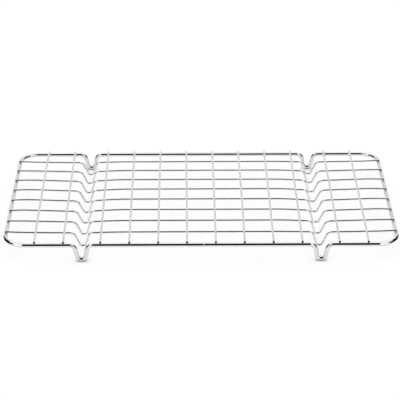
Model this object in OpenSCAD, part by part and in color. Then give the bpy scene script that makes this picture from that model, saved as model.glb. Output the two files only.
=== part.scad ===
// Wire roasting rack: a thick outer frame wire folded down into four feet,
// thin long wires dipped in line with the feet, and thin cross wires on top.
// The wires are laid crosswise and spot-welded where they meet.
// Origin: centre of the footprint, on the surface the feet stand on.

/* [Overall] */
// Overall length of the rack, over the frame wire
rack_length = 457; // [430:1:500]
// Overall depth of the rack, over the frame wire
rack_depth = 254; // [230:1:300]
// Radius of the four frame corners, to the middle of the wire
corner_radius = 22.5; // [12:0.5:24]

/* [Wire] */
// Diameter of the outer frame wire
frame_wire_d = 5.2; // [4.4:0.1:5.6]
// Diameter of the long wires and the cross wires
thin_wire_d = 2.4; // [2:0.1:2.8]
// How far two crossed wires sink into each other at a weld
weld_sink = 0.3; // [0.2:0.05:0.5]

/* [Grid] */
// Spacing of the cross wires
cross_pitch = 33; // [31:0.5:34]
// Clear step between the two cross wires that stand either side of a dip
dip_pitch = 42.6; // [41:0.1:44]
// Number of long wires
long_count = 8; // [8:1:8]
// How far the long wires reach past the middle of the side frame wire
long_overhang = 1.2; // [0.5:0.1:2]
// How far the cross wires reach past the middle of the front frame wire
cross_overhang = 1.8; // [0.5:0.1:2.2]

/* [Feet and dips] */
// Height of the feet, from the middle of the frame wire to the middle of the foot
foot_drop = 17.6; // [15:0.1:24]
// Depth of the dips in the long wires, to the middle of the wire
dip_drop = 17.3; // [14:0.1:19]
// Bend radius at the top of a foot
foot_top_bend = 7.6; // [4:0.1:8]
// Bend radius at the bottom of a foot
foot_bottom_bend = 3.9; // [3.5:0.1:5]
// Bend radius at the outer shoulder of a dip
dip_outer_bend = 7; // [4:0.1:8]
// Bend radius at the inner shoulder of a dip
dip_inner_bend = 6; // [4:0.1:7]
// Bend radius at the bottom of a dip
dip_bottom_bend = 2.6; // [2.5:0.1:4.1]

/* [Crown] */
// Rise of the middle of the grid above its front and back edges
crown = 2.95; // [1:0.05:4]

/* [Butt weld] */
// Place of the frame wire's butt weld along the front, from the middle
butt_weld_x = 3; // [-10:0.5:10]
// Width of the ridge that the butt weld leaves
butt_weld_w = 1.2; // [0.8:0.1:2.5]
// Height of that ridge above the wire
butt_weld_h = 0.12; // [0.05:0.01:0.3]

/* [Hidden] */
$fn = 32;

rf = frame_wire_d / 2;
rt = thin_wire_d / 2;

// Lengths of wire meet end to end a hair apart, inside a short collar a hair thicker than the wire
joint_gap = 0.02;
collar_w = 0.1;
collar_k = 1.018;
// the same where the wire turns a hair with no bend, as its two ends then stand askew
turn_gap = 0.045;
turn_collar_w = 0.2;

// middle lines of the frame wire
side_x = rack_length / 2 - rf;
front_y = rack_depth / 2 - rf;

// height of the frame wire's middle above the surface the feet stand on
frame_z = foot_drop + rf;

// cross wires, counted from the middle out, on the right half
cross_x = [
    cross_pitch * 0.5, cross_pitch * 1.5, cross_pitch * 2.5, cross_pitch * 3.5,
    cross_pitch * 3.5 + dip_pitch, cross_pitch * 4.5 + dip_pitch
];
// middle of the step that the dip stands in
dip_x = cross_pitch * 3.5 + dip_pitch / 2;

// long wires, from the back to the front
row_pitch = 2 * front_y / (long_count + 1);
function row_y(i) = front_y - i * row_pitch;

// heights, measured from the frame wire's middle
cross_end_h = rf + rt - weld_sink;
long_base_h = cross_end_h - 2 * rt + weld_sink;
long_end_h = rf + rt - weld_sink;

// Lift of the contact layer along the rack, for each millimetre of crown
// position beside the dip: inner shoulder, outer shoulder
inner_top_x = dip_x - 7.5;
outer_top_x = dip_x + 10.5;
inner_low_x = dip_x - 3.1;
outer_low_x = dip_x + 3.1;
inner_kink_x = (cross_x[2] + cross_x[3]) / 2;
outer_kink_x = (cross_x[4] + cross_x[5]) / 2;
end_kink_x = (cross_x[5] + side_x) / 2;
lift_table = [
    [0, 1], [inner_kink_x, 1], [inner_top_x, 0.34],
    [outer_top_x, 0.17], [outer_kink_x, 0.525], [end_kink_x, 0.975]
];
function lift(x) = crown * lookup(abs(x), lift_table);

// Share of the crown at two depths: the height where the lines that touch the crown's
// parabola at those depths meet, or the parabola itself where both are one
function crown_share(ya, yb) = 1 - ya * yb / (front_y * front_y);

// Points of a cross wire in its own plane, for a lift of s: it runs straight over each
// long wire and turns a hair half-way between them
function cross_run(s) =
    let (tip = [front_y + cross_overhang, cross_end_h - 2 * s * cross_overhang / front_y, 0])
    concat(
        [[-tip[0], tip[1], 0]],
        [for (i = [long_count:-1:0])
            [(row_y(i) + row_y(i + 1)) / 2, cross_end_h + s * crown_share(row_y(i), row_y(i + 1)), 0]],
        [tip]);

// Corner points of a long wire in its own plane, as [x, height, bend radius]
function long_half(y) =
    let (k = crown * crown_share(y, y), low = long_base_h + k - dip_drop)
    [
        [inner_kink_x, long_base_h + k, 0],
        [inner_top_x, long_base_h + 0.34 * k, dip_inner_bend],
        [inner_low_x, low, dip_bottom_bend],
        [outer_low_x, low, dip_bottom_bend],
        [outer_top_x, long_base_h + 0.17 * k, dip_outer_bend],
        [outer_kink_x, long_base_h + 0.525 * k, 0],
        [end_kink_x, long_base_h + 0.975 * k, 0],
        [side_x + long_overhang, long_end_h, 0]
    ];
// Corner points of the front or back run of the frame, in its own plane
foot_half = [
    [dip_x - 6.5, 0, foot_top_bend],
    [dip_x - 4.2, -foot_drop, foot_bottom_bend],
    [dip_x + 5, -foot_drop, foot_bottom_bend],
    [dip_x + 8.6, 0, foot_top_bend],
    [side_x - corner_radius - joint_gap, 0, 0]
];

// a half run mirrored to the left and joined to itself
function full_run(h) = concat(
    [for (i = [len(h) - 1:-1:0]) [-h[i][0], h[i][1], h[i][2]]], h);

// geometry of a bend at point i of run p
function pt(v) = [v[0], v[1]];
function dir(a, b) = (b - a) / norm(b - a);
function turn(u, v) = atan2(u[0] * v[1] - u[1] * v[0], u[0] * v[0] + u[1] * v[1]);
function dir_in(p, i) = dir(pt(p[i - 1]), pt(p[i]));
function dir_out(p, i) = dir(pt(p[i]), pt(p[i + 1]));
function bend_turn(p, i) = turn(dir_in(p, i), dir_out(p, i));
function setback(p, i) =
    (i == 0 || i == len(p) - 1) ? 0 : p[i][2] * tan(abs(bend_turn(p, i)) / 2);

// how far a straight length stops short of point i of run p
function short(p, i) =
    (i == 0 || i == len(p) - 1) ? 0 : setback(p, i) + (p[i][2] > 0 ? joint_gap : turn_gap);

// straight wire in the XY plane from a to b
module straight(a, b, r) {
    d = b - a;
    translate([a[0], a[1], 0])
        rotate([0, 0, atan2(d[1], d[0])])
            rotate([0, 90, 0]) cylinder(h = norm(d), r = r);
}

// the collar that closes the joint between two lengths of wire at point a, along d
module collar(a, d, r, w = collar_w) {
    translate([a[0], a[1], 0])
        rotate([0, 0, atan2(d[1], d[0])])
            rotate([0, 90, 0]) translate([0, 0, -w / 2])
                cylinder(h = w, r = r * collar_k);
}

// bent wire in the XY plane at point i of run p, with a collar at each end
module bend(p, i, r) {
    u = dir_in(p, i);
    v = dir_out(p, i);
    t = bend_turn(p, i);
    s = t < 0 ? -1 : 1;
    n = [-u[1] * s, u[0] * s];
    rad = p[i][2];
    start = pt(p[i]) - u * setback(p, i);
    c = start + n * rad;
    a0 = atan2(-n[1], -n[0]);
    translate([c[0], c[1], 0])
        rotate([0, 0, t < 0 ? a0 + t : a0])
            rotate_extrude(angle = abs(t), $fn = 64)
                translate([rad, 0]) circle(r = r);
    collar(start, u, r);
    collar(pt(p[i]) + v * setback(p, i), v, r);
}

// whole wire along run p, in the XZ plane
module run_wire(p, r) {
    rotate([90, 0, 0]) union() {
        for (i = [0:len(p) - 2])
            straight(
                pt(p[i]) + dir_out(p, i) * short(p, i),
                pt(p[i + 1]) - dir_out(p, i) * short(p, i + 1), r);
        for (i = [1:len(p) - 2])
            if (p[i][2] > 0) bend(p, i, r);
            else collar(p[i], dir_in(p, i) + dir_out(p, i), r, turn_collar_w);
    }
}

// one straight stretch of run p, from corner to corner, in the XZ plane
module stretch(p, i, r) {
    rotate([90, 0, 0]) straight(pt(p[i]), pt(p[i + 1]), r);
}

// stretch of the half run that a cross wire at x stands on
function stretch_at(h, x) =
    x > h[6][0] ? 6 : x > h[5][0] ? 5 : x > h[4][0] ? 4 : x > h[0][0] ? 0 : -1;

module frame_corner(sx, sy) {
    translate([sx * (side_x - corner_radius), sy * (front_y - corner_radius), 0]) {
        rotate([0, 0, sx > 0 ? (sy > 0 ? 0 : 270) : (sy > 0 ? 90 : 180)])
            rotate_extrude(angle = 90, $fn = 96)
                translate([corner_radius, 0]) circle(r = rf, $fn = 32);
        collar([sx * corner_radius, 0], [0, 1], rf);
        collar([0, sy * corner_radius], [1, 0], rf);
    }
}

module side_run(sx, over = 0) {
    translate([sx * side_x, -(front_y - corner_radius) - over, 0])
        rotate([-90, 0, 0]) cylinder(h = 2 * (front_y - corner_radius) + 2 * over, r = rf);
}

module frame_wire() {
    color("gainsboro") translate([0, 0, frame_z]) union() {
        for (sy = [-1, 1]) translate([0, sy * front_y, 0]) run_wire(full_run(foot_half), rf);
        for (sx = [-1, 1]) side_run(sx, -joint_gap);
        for (sx = [-1, 1]) for (sy = [-1, 1]) frame_corner(sx, sy);
        translate([butt_weld_x - butt_weld_w / 2, -front_y, 0])
            rotate([0, 90, 0]) cylinder(h = butt_weld_w, r = rf + butt_weld_h);
    }
}

// long wire number i, counted from the back; its ends are let into the side frame wire
module long_wire(i) {
    color("silver") translate([0, 0, frame_z]) difference() {
        translate([0, row_y(i), 0]) run_wire(full_run(long_half(row_y(i))), rt);
        for (sx = [-1, 1]) side_run(sx);
    }
}

// cross wire number j, counted from the left, let into every wire that it lies on
module cross_wire(j) {
    x = cross_x[j > 6 ? j - 7 : 6 - j];
    sx = j > 6 ? 1 : -1;
    color("silver") translate([0, 0, frame_z]) difference() {
        translate([sx * x, 0, 0]) rotate([0, 0, 90]) run_wire(cross_run(lift(x)), rt);
        for (i = [1:long_count]) let (h = long_half(row_y(i)), k = stretch_at(h, x))
            translate([0, row_y(i), 0]) {
                if (k < 0) stretch(full_run(h), 7, rt);
                else if (sx > 0) stretch(h, k, rt);
                else mirror([1, 0, 0]) stretch(h, k, rt);
            }
        for (sy = [-1, 1]) translate([sx * x - 8, sy * front_y, 0])
            rotate([0, 90, 0]) cylinder(h = 16, r = rf);
    }
}

frame_wire();
long_wire(1);  // long_wire_1
long_wire(2);  // long_wire_2
long_wire(3);  // long_wire_3
long_wire(4);  // long_wire_4
long_wire(5);  // long_wire_5
long_wire(6);  // long_wire_6
long_wire(7);  // long_wire_7
long_wire(8);  // long_wire_8
cross_wire(1);  // cross_wire_1
cross_wire(2);  // cross_wire_2
cross_wire(3);  // cross_wire_3
cross_wire(4);  // cross_wire_4
cross_wire(5);  // cross_wire_5
cross_wire(6);  // cross_wire_6
cross_wire(7);  // cross_wire_7
cross_wire(8);  // cross_wire_8
cross_wire(9);  // cross_wire_9
cross_wire(10);  // cross_wire_10
cross_wire(11);  // cross_wire_11
cross_wire(12);  // cross_wire_12
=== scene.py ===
import math

import bmesh
import bpy
import numpy as np
from mathutils import Matrix, Vector


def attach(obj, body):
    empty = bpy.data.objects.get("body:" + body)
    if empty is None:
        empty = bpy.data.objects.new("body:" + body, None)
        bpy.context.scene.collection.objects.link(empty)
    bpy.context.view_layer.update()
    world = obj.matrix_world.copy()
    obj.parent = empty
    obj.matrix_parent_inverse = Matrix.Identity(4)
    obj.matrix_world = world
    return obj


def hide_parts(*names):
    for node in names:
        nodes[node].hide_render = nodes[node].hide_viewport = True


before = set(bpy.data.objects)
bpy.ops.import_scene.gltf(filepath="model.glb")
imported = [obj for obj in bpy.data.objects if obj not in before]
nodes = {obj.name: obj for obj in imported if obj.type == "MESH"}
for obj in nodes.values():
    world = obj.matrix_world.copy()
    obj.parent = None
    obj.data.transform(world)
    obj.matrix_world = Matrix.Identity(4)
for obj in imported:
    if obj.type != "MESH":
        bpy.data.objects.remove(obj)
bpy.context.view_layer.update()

scene = bpy.context.scene

# Sizes in millimetres, in the rack's own frame: middle of the footprint, on the surface, +Z up.
MM = 0.001
FRAME_Z = 20.2          # middle of the frame wire
FRAME_R = 2.6
THIN_R = 1.2

# ------------------------------------------------------------------ camera
# It looks along the depth of the rack, 26 degrees down, from 2 m away with a long lens.
F_PX = 1676.61          # focal length in pixels of a 400-pixel picture
YAW, PITCH, ROLL = 0.010829, 0.455000, 0.001089
DIST = 2020.106
AIM = Vector((-0.5084, -8.0146, FRAME_Z))


def make_camera():
    fwd = Vector((math.sin(YAW) * math.cos(PITCH), math.cos(YAW) * math.cos(PITCH), -math.sin(PITCH)))
    right = Vector((math.cos(YAW), -math.sin(YAW), 0.0))
    up = right.cross(fwd)
    r2 = math.cos(ROLL) * right + math.sin(ROLL) * up
    u2 = -math.sin(ROLL) * right + math.cos(ROLL) * up
    data = bpy.data.cameras.new("camera")
    data.sensor_fit = "HORIZONTAL"
    data.sensor_width = 36.0
    data.sensor_height = 36.0
    data.lens = F_PX * 36.0 / 400.0
    data.clip_start, data.clip_end = 0.05, 50.0
    cam = bpy.data.objects.new("camera", data)
    scene.collection.objects.link(cam)
    m = Matrix((r2, u2, -fwd)).transposed().to_4x4()
    m.translation = (AIM - fwd * DIST) * MM
    cam.matrix_world = m
    scene.camera = cam
    return cam


camera = make_camera()

# ------------------------------------------------------------------ studio
scene.view_settings.view_transform = "Standard"
scene.view_settings.look = "None"
scene.view_settings.exposure = 0.0
scene.view_settings.gamma = 0.6


class Nodes:
    """Short calls for building a node tree."""

    def __init__(self, tree):
        self.tree = tree
        tree.nodes.clear()

    def add(self, kind, **props):
        n = self.tree.nodes.new(kind)
        for k, v in props.items():
            setattr(n, k, v)
        return n

    def put(self, socket, value):
        if isinstance(value, bpy.types.NodeSocket):
            self.tree.links.new(value, socket)
        else:
            socket.default_value = value

    def math(self, op, a, b=None, c=None, clamp=False):
        n = self.add("ShaderNodeMath", operation=op, use_clamp=clamp)
        for i, v in enumerate((a, b, c)):
            if v is not None:
                self.put(n.inputs[i], v)
        return n.outputs[0]

    def smooth(self, x, lo, hi, a=0.0, b=1.0):
        n = self.add("ShaderNodeMapRange", interpolation_type="SMOOTHSTEP")
        self.put(n.inputs["Value"], x)
        n.inputs["From Min"].default_value = lo
        n.inputs["From Max"].default_value = hi
        n.inputs["To Min"].default_value = a
        n.inputs["To Max"].default_value = b
        return n.outputs["Result"]

    def mix(self, f, a, b):
        n = self.add("ShaderNodeMix", data_type="FLOAT")
        self.put(n.inputs[0], f)
        self.put(n.inputs[2], a)
        self.put(n.inputs[3], b)
        return n.outputs[0]


def make_world():
    """A white studio by direction: a dark gap round the camera's side between white panels, a dark slot on each
    side, a dimmer back wall."""
    world = bpy.data.worlds.new("studio")
    scene.world = world
    world.use_nodes = True
    n = Nodes(world.node_tree)
    co = n.add("ShaderNodeTexCoord")
    sep = n.add("ShaderNodeSeparateXYZ")
    n.put(sep.inputs[0], co.outputs["Generated"])
    x, y, z = sep.outputs
    elev = n.math("MULTIPLY", n.math("ARCSINE", z), 180 / math.pi)
    # azimuth from the camera's side (-Y), positive to the right (+X)
    az = n.math("MULTIPLY", n.math("ARCTAN2", x, n.math("MULTIPLY", y, -1.0)), 180 / math.pi)
    absaz = n.math("ABSOLUTE", az)
    level = 1.12
    # dark gap in front
    in_az = n.smooth(n.math("ABSOLUTE", x), 0.165, 0.190, 1.0, 0.0)
    in_el = n.math("MULTIPLY", n.smooth(elev, 61.0, 69.0, 1.0, 0.0), n.smooth(y, -0.05, 0.02, 1.0, 0.0))
    gap = n.math("MULTIPLY", in_az, in_el)
    # a dark slot on each side, between the front panels and the side ones
    slot_az = n.math("MULTIPLY", n.smooth(absaz, 56.0, 70.0, 0.0, 1.0), n.smooth(absaz, 118.0, 126.0, 1.0, 0.0))
    slot_el = n.math("MULTIPLY", n.smooth(elev, 40.0, 50.0, 1.0, 0.0), n.smooth(elev, -4.0, 2.0, 0.0, 1.0))
    gap = n.math("MAXIMUM", gap, n.math("MULTIPLY", slot_az, slot_el))
    # back wall a little dimmer
    back = n.math("MULTIPLY", n.smooth(y, 0.55, 0.8, 0.0, 1.0), n.smooth(elev, 35.0, 50.0, 1.0, 0.0))
    base = n.mix(back, level, 0.93)
    val = n.mix(gap, base, 0.01)
    path = n.add("ShaderNodeLightPath")
    # the panels light the floor more than they show in the chrome
    val = n.math("MULTIPLY", val, n.mix(path.outputs["Is Glossy Ray"], 1.345, 1.0))
    seen = n.mix(path.outputs["Is Camera Ray"], val, 1.0)
    bg = n.add("ShaderNodeBackground")
    n.put(bg.inputs["Color"], (1.0, 1.0, 1.0, 1.0))
    n.put(bg.inputs["Strength"], seen)
    out = n.add("ShaderNodeOutputWorld")
    n.put(out.inputs["Surface"], bg.outputs[0])


make_world()


def make_floor():
    mesh = bpy.data.meshes.new("floor")
    bm = bmesh.new()
    bmesh.ops.create_grid(bm, x_segments=1, y_segments=1, size=6.0)
    bm.to_mesh(mesh)
    bm.free()
    floor = bpy.data.objects.new("floor", mesh)
    scene.collection.objects.link(floor)
    mat = bpy.data.materials.new("floor_white")
    mat.use_nodes = True
    n = Nodes(mat.node_tree)
    bsdf = n.add("ShaderNodeBsdfPrincipled")
    # a light table: most of its white comes through from below, so that shadows on it stay faint
    bsdf.inputs["Base Color"].default_value = (0.27, 0.27, 0.27, 1.0)
    bsdf.inputs["Roughness"].default_value = 0.9
    bsdf.inputs["Specular IOR Level"].default_value = 0.0
    bsdf.inputs["Emission Color"].default_value = (1.0, 1.0, 1.0, 1.0)
    # painted contact shadow: an ambient-occlusion node dims the floor's glow within 3.5 mm of the wires, so shade is
    # painted where they touch
    painted_contact_shadow = n.add("ShaderNodeAmbientOcclusion", samples=8)
    painted_contact_shadow.inputs["Distance"].default_value = 0.0035
    n.put(bsdf.inputs["Emission Strength"], n.mix(painted_contact_shadow.outputs["AO"], 0.25, 0.715))
    out = n.add("ShaderNodeOutputMaterial")
    n.put(out.inputs["Surface"], bsdf.outputs[0])
    mesh.materials.append(mat)
    return floor


make_floor()


def make_flag(name, ends, low, high):
    """An upright black card that only the chrome sees: ends = its two ends over the floor, low and high = its
    edges above the floor, in millimetres."""
    (x0, y0), (x1, y1) = ends
    mesh = bpy.data.meshes.new(name)
    corners = [(x0, y0, low), (x1, y1, low), (x1, y1, high), (x0, y0, high)]
    mesh.from_pydata([[c * MM for c in v] for v in corners], [], [(0, 1, 2, 3)])
    card = bpy.data.objects.new(name, mesh)
    scene.collection.objects.link(card)
    mat = bpy.data.materials.new(name + "_black")
    mat.use_nodes = True
    n = Nodes(mat.node_tree)
    bsdf = n.add("ShaderNodeBsdfPrincipled")
    bsdf.inputs["Base Color"].default_value = (0.01, 0.01, 0.01, 1.0)
    bsdf.inputs["Roughness"].default_value = 0.9
    bsdf.inputs["Specular IOR Level"].default_value = 0.0
    out = n.add("ShaderNodeOutputMaterial")
    n.put(out.inputs["Surface"], bsdf.outputs[0])
    mesh.materials.append(mat)
    card.visible_camera = False
    card.visible_diffuse = False
    card.visible_transmission = False
    card.visible_shadow = False


for side, sx in (("left", -1), ("right", 1)):
    make_flag("flag_" + side, ((sx * 272, -30), (sx * 400, -130)), 30, 130)
make_flag("flag_low", ((-480, -1624), (480, -1624)), 1, 690)
make_flag("flag_front", ((-335, -350), (335, -350)), 520, 960)

# ------------------------------------------------------------------ chrome


def chrome(name, base, rough):
    """Bright plate on drawn wire: faint lengthwise drawing lines under it, a little haze and a few pin specks."""
    mat = bpy.data.materials.new(name)
    mat.use_nodes = True
    n = Nodes(mat.node_tree)
    bsdf = n.add("ShaderNodeBsdfPrincipled")
    bsdf.inputs["Metallic"].default_value = 1.0
    co = n.add("ShaderNodeAttribute", attribute_name="wire_mm")
    long = n.add("ShaderNodeMapping")
    n.put(long.inputs["Vector"], co.outputs["Vector"])
    long.inputs["Scale"].default_value = (6.0, 6.0, 0.05)
    lines = n.add("ShaderNodeTexNoise")
    n.put(lines.inputs["Vector"], long.outputs[0])
    lines.inputs["Scale"].default_value = 1.0
    lines.inputs["Detail"].default_value = 3.0
    lines.inputs["Roughness"].default_value = 0.6
    place = n.add("ShaderNodeTexCoord")
    haze = n.add("ShaderNodeTexNoise")
    n.put(haze.inputs["Vector"], place.outputs["Object"])
    haze.inputs["Scale"].default_value = 45.0
    haze.inputs["Detail"].default_value = 3.0
    speck = n.add("ShaderNodeTexVoronoi", feature="F1")
    n.put(speck.inputs["Vector"], place.outputs["Object"])
    speck.inputs["Scale"].default_value = 420.0
    dot = n.smooth(speck.outputs["Distance"], 0.05, 0.11, 1.0, 0.0)
    tone = n.math("MULTIPLY", n.smooth(haze.outputs[0], 0.3, 0.7, base * 0.975, base * 1.02), n.mix(dot, 1.0, 0.93))
    rgb = n.add("ShaderNodeCombineColor")
    n.put(rgb.inputs[0], tone)
    n.put(rgb.inputs[1], n.math("MULTIPLY", tone, 1.002))
    n.put(rgb.inputs[2], n.math("MULTIPLY", tone, 1.008))
    n.put(bsdf.inputs["Base Color"], rgb.outputs[0])
    r = n.smooth(haze.outputs[0], 0.35, 0.75, rough * 0.8, rough * 1.35)
    n.put(bsdf.inputs["Roughness"], n.math("ADD", r, n.math("MULTIPLY", dot, 0.12)))
    height = n.math("SUBTRACT", lines.outputs[0], n.math("MULTIPLY", dot, 0.8))
    bump = n.add("ShaderNodeBump")
    bump.inputs["Strength"].default_value = 0.35
    bump.inputs["Distance"].default_value = 0.000006
    n.put(bump.inputs["Height"], height)
    n.put(bsdf.inputs["Normal"], bump.outputs[0])
    out = n.add("ShaderNodeOutputMaterial")
    n.put(out.inputs["Surface"], bsdf.outputs[0])
    return mat


def cut_steel_and_shade(name):
    """The sheared ends of the wires: dull, with the lines of the blade, and kept far darker than bare steel, so
    their colour is partly painted shade.
    """
    mat = bpy.data.materials.new(name)
    mat.use_nodes = True
    n = Nodes(mat.node_tree)
    bsdf = n.add("ShaderNodeBsdfPrincipled")
    bsdf.inputs["Metallic"].default_value = 1.0
    place = n.add("ShaderNodeTexCoord")
    squeeze = n.add("ShaderNodeMapping")
    n.put(squeeze.inputs["Vector"], place.outputs["Object"])
    squeeze.inputs["Scale"].default_value = (5200.0, 900.0, 900.0)
    grain = n.add("ShaderNodeTexNoise")
    n.put(grain.inputs["Vector"], squeeze.outputs[0])
    grain.inputs["Scale"].default_value = 1.0
    grain.inputs["Detail"].default_value = 3.0
    # painted shade: the ends' tone is held near black, darker than dull sheared steel alone would be
    tone = n.smooth(grain.outputs[0], 0.3, 0.7, 0.08, 0.17)
    rgb = n.add("ShaderNodeCombineColor")
    n.put(rgb.inputs[0], tone)
    n.put(rgb.inputs[1], tone)
    n.put(rgb.inputs[2], n.math("MULTIPLY", tone, 1.03))
    n.put(bsdf.inputs["Base Color"], rgb.outputs[0])
    n.put(bsdf.inputs["Roughness"], n.smooth(grain.outputs[0], 0.3, 0.7, 0.28, 0.45))
    bump = n.add("ShaderNodeBump")
    bump.inputs["Strength"].default_value = 0.5
    bump.inputs["Distance"].default_value = 0.00002
    n.put(bump.inputs["Height"], grain.outputs[0])
    n.put(bsdf.inputs["Normal"], bump.outputs[0])
    out = n.add("ShaderNodeOutputMaterial")
    n.put(out.inputs["Surface"], bsdf.outputs[0])
    return mat


frame_chrome = chrome("frame_chrome", 0.83, 0.05)
grid_chrome = chrome("grid_chrome", 0.82, 0.07)
cut_end = cut_steel_and_shade("cut_end")

for name, obj in nodes.items():
    mat = frame_chrome if name == "frame_wire" else grid_chrome
    for slot in obj.material_slots:
        slot.material = mat
    if not obj.material_slots:
        obj.data.materials.append(mat)

# ------------------------------------------------------------------ the wires' runs
# The same middle lines as the rack's own design, in millimetres, heights from the frame wire's middle.
SINK = 0.3
SIDE_X, FRONT_Y = 225.9, 124.4
CORNER_R = 22.5
PITCH_X, DIP_PITCH = 33.0, 42.6
LONGS = 8
FOOT_DROP, DIP_DROP = 17.6, 17.3
CROWN = 2.95
LONG_OVER, CROSS_OVER = 1.2, 1.5
CROSS_X = [PITCH_X * k for k in (0.5, 1.5, 2.5, 3.5)] + [PITCH_X * 3.5 + DIP_PITCH, PITCH_X * 4.5 + DIP_PITCH]
DIP_X = PITCH_X * 3.5 + DIP_PITCH / 2
CROSS_H = FRAME_R + THIN_R - SINK
LONG_H = CROSS_H - 2 * THIN_R + SINK
INNER_KINK = (CROSS_X[2] + CROSS_X[3]) / 2
OUTER_KINK = (CROSS_X[4] + CROSS_X[5]) / 2
END_KINK = (CROSS_X[5] + SIDE_X) / 2
INNER_TOP, OUTER_TOP = DIP_X - 7.5, DIP_X + 10.5
LIFT = [(0, 1.0), (INNER_KINK, 1.0), (INNER_TOP, 0.34), (OUTER_TOP, 0.17), (OUTER_KINK, 0.525), (END_KINK, 0.975)]


def lift(x):
    x = abs(x)
    for (x0, v0), (x1, v1) in zip(LIFT, LIFT[1:]):
        if x <= x1:
            return CROWN * (v0 + (v1 - v0) * (x - x0) / (x1 - x0))
    return CROWN * LIFT[-1][1]


def row_y(i):
    return FRONT_Y - i * 2 * FRONT_Y / (LONGS + 1)


def share(ya, yb):
    return 1 - ya * yb / FRONT_Y ** 2


def long_run(y):
    """Points (x, height, bend radius) of a long wire at depth y."""
    k = CROWN * share(y, y)
    low = LONG_H + k - DIP_DROP
    half = [
        (INNER_KINK, LONG_H + k, 0),
        (INNER_TOP, LONG_H + 0.34 * k, 6.0),
        (DIP_X - 3.1, low, 2.6),
        (DIP_X + 3.1, low, 2.6),
        (OUTER_TOP, LONG_H + 0.17 * k, 7.0),
        (OUTER_KINK, LONG_H + 0.525 * k, 0),
        (END_KINK, LONG_H + 0.975 * k, 0),
        (SIDE_X + LONG_OVER, FRAME_R + THIN_R - SINK, 0),
    ]
    return [(-x, h, r) for x, h, r in reversed(half)] + half


def cross_run(x):
    """Points (y, height, bend radius) of a cross wire that stands at x."""
    s = lift(x)
    tip = FRONT_Y + CROSS_OVER
    tip_h = CROSS_H - 2 * s * CROSS_OVER / FRONT_Y
    inner = [
        ((row_y(i) + row_y(i + 1)) / 2, CROSS_H + s * share(row_y(i), row_y(i + 1)), 0)
        for i in range(LONGS, -1, -1)
    ]
    return [(-tip, tip_h, 0)] + inner + [(tip, tip_h, 0)]


# ------------------------------------------------------------------ drawing wire
def vec(*v):
    return np.array(v, float)


def unit(v):
    return v / np.linalg.norm(v)


def rounded(points, radii, step=4.0, closed=False, soften=11.0):
    """The middle line through 3-D corner points as [(point, tangent)], with an arc at each corner. A corner with
    no radius is a hair turn, drawn as a long easy bend that starts at most `soften` before it."""
    count = len(points)
    out = []
    for i in range(count):
        p = points[i]
        if not closed and i in (0, count - 1):
            q = points[1] - p if i == 0 else p - points[-2]
            out.append((p, unit(q)))
            continue
        a, b = points[i - 1], points[(i + 1) % count]
        u, v = unit(p - a), unit(b - p)
        turn = math.acos(max(-1.0, min(1.0, float(u @ v))))
        if turn < 1e-5:
            continue
        back = radii[i] * math.tan(turn / 2)
        if radii[i] == 0:
            back = min(soften, 0.42 * np.linalg.norm(p - a), 0.42 * np.linalg.norm(b - p))
        radius = back / math.tan(turn / 2)
        start = p - u * back
        inward = unit(v - u * float(u @ v))
        centre = start + inward * radius
        parts = max(3 if radii[i] == 0 else 2, math.ceil(math.degrees(turn) / step))
        guard = min(1.0, 0.2 * np.linalg.norm(p - a), 0.2 * np.linalg.norm(b - p))
        out.append((start - u * guard, u))
        for k in range(parts + 1):
            t = turn * k / parts
            out.append((centre - inward * radius * math.cos(t) + u * radius * math.sin(t), u * math.cos(t) + inward * math.sin(t)))
        out.append((p + v * (back + guard), v))
    return out


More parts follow.
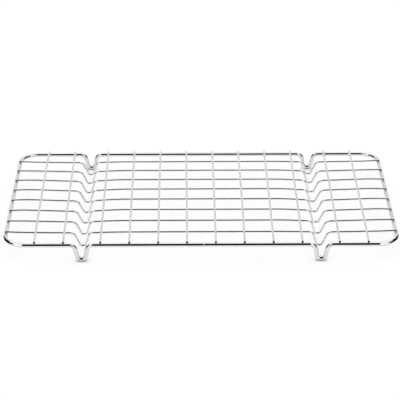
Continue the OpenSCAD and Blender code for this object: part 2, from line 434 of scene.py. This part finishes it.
def sweep(path, radius, sides, closed=False, up=vec(0, 0, 1), swell=None, ends=None):
    """A tube along path. ends = (tilt of the first face, tilt of the last), in degrees, or None for a closed loop.
    Returns vertices, faces, face kinds (1 on a cut end) and straightened-wire coordinates, in millimetres."""
    pts = [np.asarray(p) for p, _ in path]
    tans = [unit(np.asarray(t)) for _, t in path]
    n0 = unit(up - tans[0] * float(up @ tans[0]))
    normals = [n0]
    for i in range(1, len(pts)):
        n = normals[-1]
        n = n - tans[i] * float(n @ tans[i])
        normals.append(unit(n))
    length = [0.0]
    for i in range(1, len(pts)):
        length.append(length[-1] + float(np.linalg.norm(pts[i] - pts[i - 1])))
    twist = 0.0
    if closed:
        n = normals[-1] - tans[0] * float(normals[-1] @ tans[0])
        n = unit(n)
        b0 = np.cross(tans[0], n0)
        twist = math.atan2(float(n @ b0), float(n @ n0))
        total = length[-1] + float(np.linalg.norm(pts[0] - pts[-1]))
    rings = []
    for i, (p, t, n) in enumerate(zip(pts, tans, normals)):
        a0 = -twist * length[i] / total if closed else 0.0
        rings.append((p, t, n, np.cross(t, n), radius, length[i], a0, 0.0))
    if not closed:
        first, last = ends
        head = [(0.0, 0.80, first), (0.03, 0.90, first), (0.10, 0.97, first), (0.24, 1.0, first), (0.34, 1.0, first)]
        p, t, n, b, r, s, a0, _ = rings[0]
        start = [(p + t * d, t, n, b, r * k, s + d, a0, tilt) for d, k, tilt in head]
        p, t, n, b, r, s, a0, _ = rings[-1]
        stop = [(p - t * d, t, n, b, r * k, s - d, a0, -tilt) for d, k, tilt in
                [(d, k, last) for d, k, _ in reversed(head)]]
        rings = start + rings[1:-1] + stop
    ang = 2 * np.pi * np.arange(sides) / sides
    verts, wire = [], []
    for p, t, n, b, r, s, a0, tilt in rings:
        rr = r * (1 + (swell(s, ang) / radius if swell else 0.0))
        c, d = np.cos(ang + a0), np.sin(ang + a0)
        ring = p + np.outer(rr * c, n) + np.outer(rr * d, b)
        if tilt:
            # the top of the cut face is set back, so that it looks up
            ring = ring + np.outer((c * r + radius) * math.tan(math.radians(tilt)), t)
        verts.append(ring)
        wire.append(np.stack([radius * c, radius * d, np.full(sides, s)], 1))
    verts, wire = np.concatenate(verts), np.concatenate(wire)
    count = len(rings)
    faces, kinds = [], []
    j = np.arange(sides)
    jn = (j + 1) % sides
    for i in range(count if closed else count - 1):
        a, c = i * sides, ((i + 1) % count) * sides
        faces += np.stack([a + j, c + j, c + jn, a + jn], 1).tolist()
        kinds += [0] * sides
    if not closed:
        mid0 = verts[:sides].mean(0)
        mid1 = verts[-sides:].mean(0)
        k = len(verts)
        verts = np.concatenate([verts, [mid0, mid1]])
        wire = np.concatenate([wire, [wire[:sides].mean(0), wire[-sides:].mean(0)]])
        z = (count - 1) * sides
        faces += [[k, int(x), int(y)] for x, y in zip(j, jn)]
        faces += [[k + 1, z + int(y), z + int(x)] for x, y in zip(j, jn)]
        kinds += [1] * (2 * sides)
    return verts, faces, kinds, wire


def piece(name, parts, mats, replaces=None):
    """One mesh object out of (verts, faces, kinds, wire) parts in millimetres, riding the rack."""
    verts = np.concatenate([p[0] for p in parts]) * MM
    wire = np.concatenate([p[3] for p in parts])
    faces, kinds, base = [], [], 0
    for v, f, k, _ in parts:
        faces += [[x + base for x in face] for face in f]
        kinds += k
        base += len(v)
    mesh = bpy.data.meshes.new(name)
    mesh.from_pydata(verts.tolist(), [], faces)
    for mat in mats:
        mesh.materials.append(mat)
    mesh.polygons.foreach_set("material_index", np.array(kinds, np.int32))
    mesh.polygons.foreach_set("use_smooth", [True] * len(faces))
    attr = mesh.attributes.new("wire_mm", "FLOAT_VECTOR", "POINT")
    attr.data.foreach_set("vector", wire.astype(np.float32).ravel())
    mesh.update()
    obj = bpy.data.objects.new(name, mesh)
    scene.collection.objects.link(obj)
    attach(obj, "root")
    if replaces:
        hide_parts(replaces)
    return obj


def frame_path():
    """The closed middle line of the frame wire, from the middle of the front side to the right and round."""
    foot = [
        (DIP_X - 6.5, 0.0, 7.6),
        (DIP_X - 4.2, -FOOT_DROP, 3.9),
        (DIP_X + 5.0, -FOOT_DROP, 3.9),
        (DIP_X + 8.6, 0.0, 7.6),
    ]
    pts, rad = [], []

    def side(sx, sy, order):
        for x, h, r in order:
            pts.append(vec(sx * x, sy * FRONT_Y, FRAME_Z + h))
            rad.append(r)

    def corner(sx, sy):
        pts.append(vec(sx * SIDE_X, sy * FRONT_Y, FRAME_Z))
        rad.append(CORNER_R)

    side(1, -1, foot)
    corner(1, -1)
    corner(1, 1)
    side(1, 1, foot[::-1])
    side(-1, 1, foot)
    corner(-1, 1)
    corner(-1, -1)
    side(-1, -1, foot[::-1])
    return rounded(pts, rad, step=3.6, closed=True)


def add_between(path, marks):
    """Extra rings on the straight front stretch that the path closes over, at these x."""
    y, z = -FRONT_Y, FRAME_Z
    return path + [(vec(x, y, z), vec(1, 0, 0)) for x in marks]


def frame_mesh():
    path = frame_path()
    weld = 3.0
    marks = [weld + d for d in (-1.4, -0.8, -0.6, -0.45, -0.3, -0.15, 0.0, 0.15, 0.3, 0.45, 0.6, 0.8, 1.4)]
    path = add_between(path, marks)
    spans = [np.linalg.norm(path[i][0] - path[i - 1][0]) for i in range(1, len(path))]
    at = sum(spans[: len(path) - 1 - marks[::-1].index(weld)])

    def swell(s, ang):
        d = (s - at) / 0.6
        ridge = 0.12 * max(0.0, 1 - d * d) ** 2 if abs(d) < 1 else 0.0
        return ridge * (1 + 0.18 * np.sin(3 * ang + 0.7) + 0.1 * np.sin(5 * ang))

    return sweep(path, FRAME_R, 48, closed=True, up=vec(0, 0, 1), swell=swell)


piece("frame_wire_drawn", [frame_mesh()], [frame_chrome], replaces="frame_wire")

long_paths = {}
for i in range(1, LONGS + 1):
    y = row_y(i)
    run = long_run(y)
    path = rounded([vec(x, y, FRAME_Z + h) for x, h, _ in run], [r for _, _, r in run], step=5.0)
    long_paths[i] = run
    piece(f"long_wire_{i}_drawn", [sweep(path, THIN_R, 28, ends=(8.0, 8.0))], [grid_chrome, cut_end],
          replaces=f"long_wire_{i}")

ALL_X = [-x for x in reversed(CROSS_X)] + CROSS_X
for j, x in enumerate(ALL_X, 1):
    run = cross_run(x)
    path = rounded([vec(x, y, FRAME_Z + h) for y, h, _ in run], [0.0] * len(run), step=1.0)
    piece(f"cross_wire_{j}_drawn", [sweep(path, THIN_R, 28, ends=(30.0, 10.0))], [grid_chrome, cut_end],
          replaces=f"cross_wire_{j}")


# ------------------------------------------------------------------ spot welds
def height_on(run, x):
    for (x0, h0, _), (x1, h1, _) in zip(run, run[1:]):
        if x0 <= x <= x1:
            return h0 + (h1 - h0) * (x - x0) / (x1 - x0), unit(vec(x1 - x0, 0, h1 - h0))
    raise ValueError(x)


def fillet(centre, ea, eb, ra, rb, gap, rng, end=None, sides=28, rows=6):
    """The metal drawn out round a weld: a concave ring between a lower wire (middle at centre, along ea, radius ra)
    and the upper one that crosses it (along eb, radius rb, gap above it). end = how far the upper wire reaches
    past the weld, as (direction, millimetres)."""
    up = unit(np.cross(ea, eb))
    if up[2] < 0:
        up = -up
    ey = np.cross(up, ea)
    width = rng.uniform(0.38, 0.50)
    wob = rng.uniform(0, 2 * np.pi, 3)
    verts = []
    rim = []
    for k in range(sides):
        a = 2 * np.pi * k / sides
        c, s = math.cos(a), math.sin(a)
        # where the two round surfaces meet in this direction
        lo, hi = 0.0, min(ra / max(abs(s), 1e-6), rb / max(abs(c), 1e-6)) * 0.999
        for _ in range(40):
            m = (lo + hi) / 2
            za = math.sqrt(max(ra ** 2 - (m * s) ** 2, 0.0))
            zb = gap - math.sqrt(max(rb ** 2 - (m * c) ** 2, 0.0))
            if za > zb:
                lo = m
            else:
                hi = m
        meet = lo
        w = width * (1 + 0.12 * math.sin(2 * a + wob[0]) + 0.08 * math.sin(3 * a + wob[1]) + 0.05 * math.sin(5 * a + wob[2]))
        out_a = min(meet + w, 0.93 * ra / max(abs(s), 1e-6))
        out_b = min(meet + w, 0.93 * rb / max(abs(c), 1e-6))
        if end is not None:
            reach = (c * ea + s * ey) @ end[0]
            if reach > 0.05:
                out_b = min(out_b, (end[1] - 0.12) / reach)
        za = math.sqrt(ra ** 2 - (out_a * s) ** 2)
        zb = gap - math.sqrt(rb ** 2 - (out_b * c) ** 2)
        zm = math.sqrt(max(ra ** 2 - (meet * s) ** 2, 0.0))
        p0, p1, p2 = np.array([out_a, za]), np.array([min(meet, out_b), zm]), np.array([out_b, zb])
        # the rim sits a hair inside each wire
        p0 = p0 - np.array([0, 0.02])
        p2 = p2 + np.array([0, 0.02])
        col = []
        for t in np.linspace(0, 1, rows):
            q = (1 - t) ** 2 * p0 + 2 * t * (1 - t) * p1 + t * t * p2
            col.append(centre + (c * ea + s * ey) * q[0] + up * q[1])
        rim.append(col)
    for t in range(rows):
        for k in range(sides):
            verts.append(rim[k][t])
    verts += [centre + up * (ra * 0.45), centre + up * (gap - rb * 0.45)]
    faces = []
    for t in range(rows - 1):
        for k in range(sides):
            n = (k + 1) % sides
            faces.append([t * sides + k, t * sides + n, (t + 1) * sides + n, (t + 1) * sides + k])
    bot, top = len(verts) - 2, len(verts) - 1
    for k in range(sides):
        n = (k + 1) % sides
        faces.append([bot, n, k])
        faces.append([top, (rows - 1) * sides + k, (rows - 1) * sides + n])
    verts = np.array(verts)
    return verts, faces, [0] * len(faces), verts * 1.0


rng = np.random.default_rng(7)
welds = []
for x in ALL_X:
    run = cross_run(x)
    for i in range(1, LONGS + 1):
        y = row_y(i)
        ha, ea = height_on(long_paths[i], x)
        hb, tb = height_on(run, y)
        eb = unit(vec(0, tb[0], tb[2]))
        # the gap between the two middle lines, square to both
        up = unit(np.cross(ea, eb))
        gap = (hb - ha) * abs(float(up[2]))
        welds.append(fillet(vec(x, y, FRAME_Z + ha), ea, eb, THIN_R, THIN_R, gap, rng))
    for sy in (-1, 1):
        hb, tb = height_on(run, sy * FRONT_Y)
        eb = unit(vec(0, tb[0], tb[2]))
        welds.append(fillet(vec(x, sy * FRONT_Y, FRAME_Z), vec(1, 0, 0), eb, FRAME_R, THIN_R, hb, rng,
                            end=(vec(0, sy, 0), CROSS_OVER)))
for i in range(1, LONGS + 1):
    for sx in (-1, 1):
        hb, tb = height_on(long_paths[i], sx * SIDE_X)
        welds.append(fillet(vec(sx * SIDE_X, row_y(i), FRAME_Z), vec(0, 1, 0), tb, FRAME_R, THIN_R, hb, rng,
                            end=(vec(sx, 0, 0), LONG_OVER)))
piece("spot_welds", welds, [grid_chrome])
